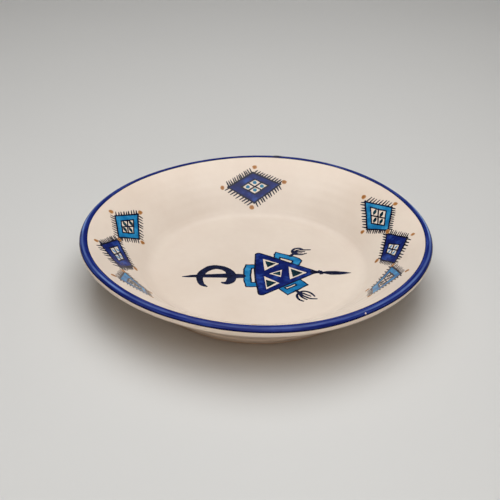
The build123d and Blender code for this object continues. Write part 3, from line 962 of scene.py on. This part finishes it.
# Brush strokes, each point with x, y and half the stroke's width
HOOP = (
    (-30.9, -23.2, 0.4), (-34.0, -20.8, 1.5), (-35.5, -16.4, 1.9), (-35.9, -12.0, 2.1),
    (-34.8, -7.6, 2.35), (-32.5, -3.7, 2.35), (-29.3, -0.8, 2.5), (-25.5, 0.1, 2.25),
    (-21.2, -1.2, 2.2), (-17.7, -4.5, 2.4), (-16.2, -8.4, 2.95), (-15.7, -12.6, 2.85),
    (-16.4, -16.0, 2.7), (-18.2, -18.6, 1.7), (-20.6, -18.6, 1.05), (-21.6, -18.1, 0.7))
NEEDLE = (
    (-46.6, -12.0, 0.3), (-42.0, -11.4, 1.2), (-37.8, -10.9, 1.5), (-32.5, -10.7, 1.8),
    (-25.0, -10.3, 2.1), (-18.7, -10.1, 2.5), (-14.0, -10.3, 2.5), (-11.4, -10.2, 2.4),
    (-9.3, -10.2, 2.3))
SPINDLE = (
    (36.2, -4.0, 2.0), (38.4, -4.1, 1.4), (41.2, -4.3, 1.0), (42.6, -4.2, 0.9), (44.6, -4.5, 1.65),
    (48.4, -4.7, 2.15), (54.7, -4.6, 1.55), (59.8, -4.2, 0.2))
KNOTS = (((39.9, -2.3, 0.6), (40.6, -6.2, 0.6)), ((41.2, -2.9, 0.55), (41.9, -5.9, 0.5)))
TASSELS = (
    ((22.0, 15.4, 1.1), (23.2, 17.2, 0.9), (24.0, 18.4, 0.95)),
    ((24.0, 18.3, 0.7), (23.1, 21.4, 0.75), (24.7, 24.4, 0.75), (27.4, 25.5, 0.7), (29.9, 24.5, 0.45)),
    ((23.9, 18.4, 0.6), (24.8, 21.2, 0.6), (28.1, 23.5, 0.6), (31.2, 23.4, 0.6), (35.0, 23.8, 0.45)),
    ((24.1, 18.5, 0.6), (26.2, 20.6, 0.55), (28.8, 21.6, 0.5), (31.2, 21.3, 0.4)),
    ((24.2, 18.3, 0.6), (26.6, 19.0, 0.55), (29.4, 19.6, 0.4)),
    ((24.0, 18.0, 0.75), (26.2, 17.4, 0.6), (29.0, 17.4, 0.55), (32.3, 19.1, 0.4)),
    ((24.8, -26.6, 1.1), (25.8, -27.8, 0.95), (26.6, -28.8, 1.0)),
    ((26.4, -28.7, 0.75), (25.0, -31.4, 0.7), (25.2, -34.2, 0.7), (26.5, -36.8, 0.65),
     (28.6, -38.2, 0.45)),
    ((26.6, -28.9, 0.65), (27.1, -32.0, 0.6), (28.3, -34.1, 0.6), (30.9, -36.3, 0.4)),
    ((26.7, -28.8, 0.65), (28.2, -31.4, 0.6), (30.0, -33.1, 0.6), (33.1, -35.1, 0.6),
     (37.0, -35.4, 0.45)),
    ((26.8, -28.5, 0.65), (28.4, -29.2, 0.6), (30.2, -30.3, 0.6), (33.4, -32.5, 0.4)),
    ((26.7, -28.2, 0.75), (28.4, -27.1, 0.65), (30.6, -27.1, 0.65), (33.5, -28.8, 0.65),
     (35.8, -32.4, 0.45)),
)


def lay_in_well(layer, name, lift, material, slot, *nodes):
    """Turns a layer of the brooch into a finished piece."""
    finish_piece(layer.piece(name, WELL_PLACE, lift), material, slot, *nodes)


def build_brooch():
    """The brooch: blue fills, small dark triangles in the panes, and dark lines and strokes over them."""
    chance = np.random.default_rng(SEED + 300)
    triangle = Layer((-3, -36), (41, 21))
    triangle.fill(TRIANGLE, TRIANGLE_CORNER)
    for pane in PANES:
        triangle.leave(pane, PANE_GROW)
    triangle.waver(0.06, 3.5, 80)
    lay_in_well(triangle, "brooch_triangle_fill", FILL_LIFT, DARK_MATERIAL, "dark_blue", "brooch_triangle")
    brackets = Layer((-10, -34), (35, 22))
    for outline in BRACKETS:
        brackets.fill(outline)
    for slot in SLOTS:
        brackets.leave(slot)
    brackets.leave(TRIANGLE, TRIANGLE_CORNER - TRIANGLE_LINE)
    brackets.waver(0.06, 3.0, 81)
    lay_in_well(brackets, "brooch_bracket_fill", FILL_LIFT, LIGHT_MATERIAL, "light_blue", "brooch_brackets")
    cores = Layer((3, -25), (31, 11), FINE_CELL)
    for core in CORES:
        cores.fill(core, CORE_GROW)
    cores.waver(0.08, 2.0, 82)
    lay_in_well(cores, "brooch_core_fill", MARK_LIFT, TEAL_MATERIAL, "turquoise", "brooch_cores")
    lines = Layer(BROOCH_LOW, BROOCH_HIGH)
    lines.ring(TRIANGLE, TRIANGLE_CORNER - TRIANGLE_LINE, TRIANGLE_LINE)
    for slot in SLOTS:
        for a, b in zip(slot, slot[1:] + slot[:1]):
            brushed_line(lines, a, b, SLOT_LINE, chance, SHORT_OVERRUN)
    for outline in BRACKETS:
        for a, b in zip(outline, outline[1:]):
            brushed_line(lines, a, b, BRACKET_LINE, chance, SHORT_OVERRUN)
    for pane in PANES:
        lines.leave(pane)
    lines.waver(0.04, 1.8, 83)
    lay_in_well(lines, "brooch_outline", LINE_LIFT, HOOP_MATERIAL, "navy_line",
                "brooch_triangle", "brooch_brackets")
    strokes = {
        "brooch_hoop": (HOOP, NEEDLE),
        "brooch_spindle": (SPINDLE, *KNOTS),
        "brooch_tassels": TASSELS,
    }
    for number, (node, paths) in enumerate(strokes.items()):
        layer = Layer(BROOCH_LOW, BROOCH_HIGH)
        for path in paths:
            layer.stroke(path, BRUSH_SPREAD)
        layer.waver(0.04, 2.0, 90 + number)
        lay_in_well(layer, node + "_strokes", LINE_LIFT, HOOP_MATERIAL, "navy_line", node)


build_pot()
build_band()
build_rim_marks()
for tile_number, (tile_node, tile_spec) in enumerate(TILES.items()):
    build_tile(tile_number, tile_node, tile_spec)
build_dots()
build_brooch()


# ---- Floor, light and camera ----
def build_floor():
    """A plain pale floor, wide enough for every view."""
    reach = 6.0
    corners = [(-reach, -reach, 0), (reach, -reach, 0), (reach, reach, 0), (-reach, reach, 0)]
    mesh = bpy.data.meshes.new("floor")
    mesh.from_pydata(corners, [], [(0, 1, 2, 3)])
    floor = add_object("floor", mesh)
    n = Nodes(bpy.data.materials.new("floor_paper"))
    n.shade(n.ramp(n.noise(0.4, 2), (0.3, srgb(206, 205, 202)), (0.7, srgb(209, 208, 205))), 0.9)
    mesh.materials.append(n.owner)


ROOM_DIM = (0.09, 0.09, 0.092)
ROOM_FRONT = (3.1, 2.6, 2.15)
FRONT_SIDE = (0.3, -0.7)    # the room brightens from this y of a direction to that one
FRONT_LOW = (0.17, 0.04)    # and from this z down to that one
# Each light gives its place, the point it faces, its two sides and its power in watts.
LIGHTS = (
    ("softbox", (0.0, -0.10, 0.70), (0, -0.10, 0), (0.68, 1.28), 7.2),
    ("softbox_front", (0.0, -0.71, 0.69), (0, -0.71, 0), (1.0, 0.2), 0.35),
    ("lamp", (-0.20, 0.093, 0.65), (0, 0, 0), (0.11, 0.04), 0.05),
    ("lamp", (0.20, 0.093, 0.65), (0, 0, 0), (0.11, 0.04), 0.05),
)


def area_light(name, place, target, size, power):
    """A rectangular soft light at place that faces target."""
    lamp = bpy.data.lights.new(name, "AREA")
    lamp.shape = "RECTANGLE"
    lamp.size, lamp.size_y = size
    lamp.energy = power
    light = add_object(name, lamp)
    light.location = place
    light.rotation_euler = (Vector(target) - Vector(place)).to_track_quat("-Z", "Y").to_euler()


def build_light():
    """A large soft light above, a strip in front, two lamps, and a room that is bright low in front."""
    n = Nodes(bpy.data.worlds.new("room"))
    direction = n.add("ShaderNodeSeparateXYZ")
    n.link(n.add("ShaderNodeTexCoord").outputs["Generated"], direction.inputs["Vector"])
    near = n.span(direction.outputs["Y"], *FRONT_SIDE)
    low = n.span(direction.outputs["Z"], *FRONT_LOW)
    n.link(n.ramp(n.times(near, low), (0, ROOM_DIM), (1, ROOM_FRONT)), n.shader.inputs["Color"])
    bpy.context.scene.world = n.owner
    for light in LIGHTS:
        area_light(*light)


CAMERA_PLACE = (-4.45, -654.45, 410.06)
CAMERA_LENS = 86.4
CAMERA_DOWN = math.radians(30.59)
CAMERA_ROLL = math.radians(0.89)


def build_camera():
    """The camera: in front of the plate and above it, looking down at about 31 degrees."""
    camera = bpy.data.cameras.new("camera")
    camera.sensor_width = 36.0
    camera.lens = CAMERA_LENS
    camera.dof.use_dof = False
    viewer = add_object("camera", camera)
    look = Vector((0, math.cos(CAMERA_DOWN), -math.sin(CAMERA_DOWN)))
    upright = Vector((0, math.sin(CAMERA_DOWN), math.cos(CAMERA_DOWN)))
    right = Vector((1, 0, 0))
    tipped_right = right * math.cos(CAMERA_ROLL) + upright * math.sin(CAMERA_ROLL)
    tipped_up = upright * math.cos(CAMERA_ROLL) - right * math.sin(CAMERA_ROLL)
    axes = Matrix((tipped_right, tipped_up, -look)).transposed().to_4x4()
    viewer.matrix_world = Matrix.Translation(Vector(CAMERA_PLACE) * MM) @ axes
    bpy.context.scene.camera = viewer


build_floor()
build_light()
build_camera()
bpy.context.scene.view_settings.view_transform = "Standard"
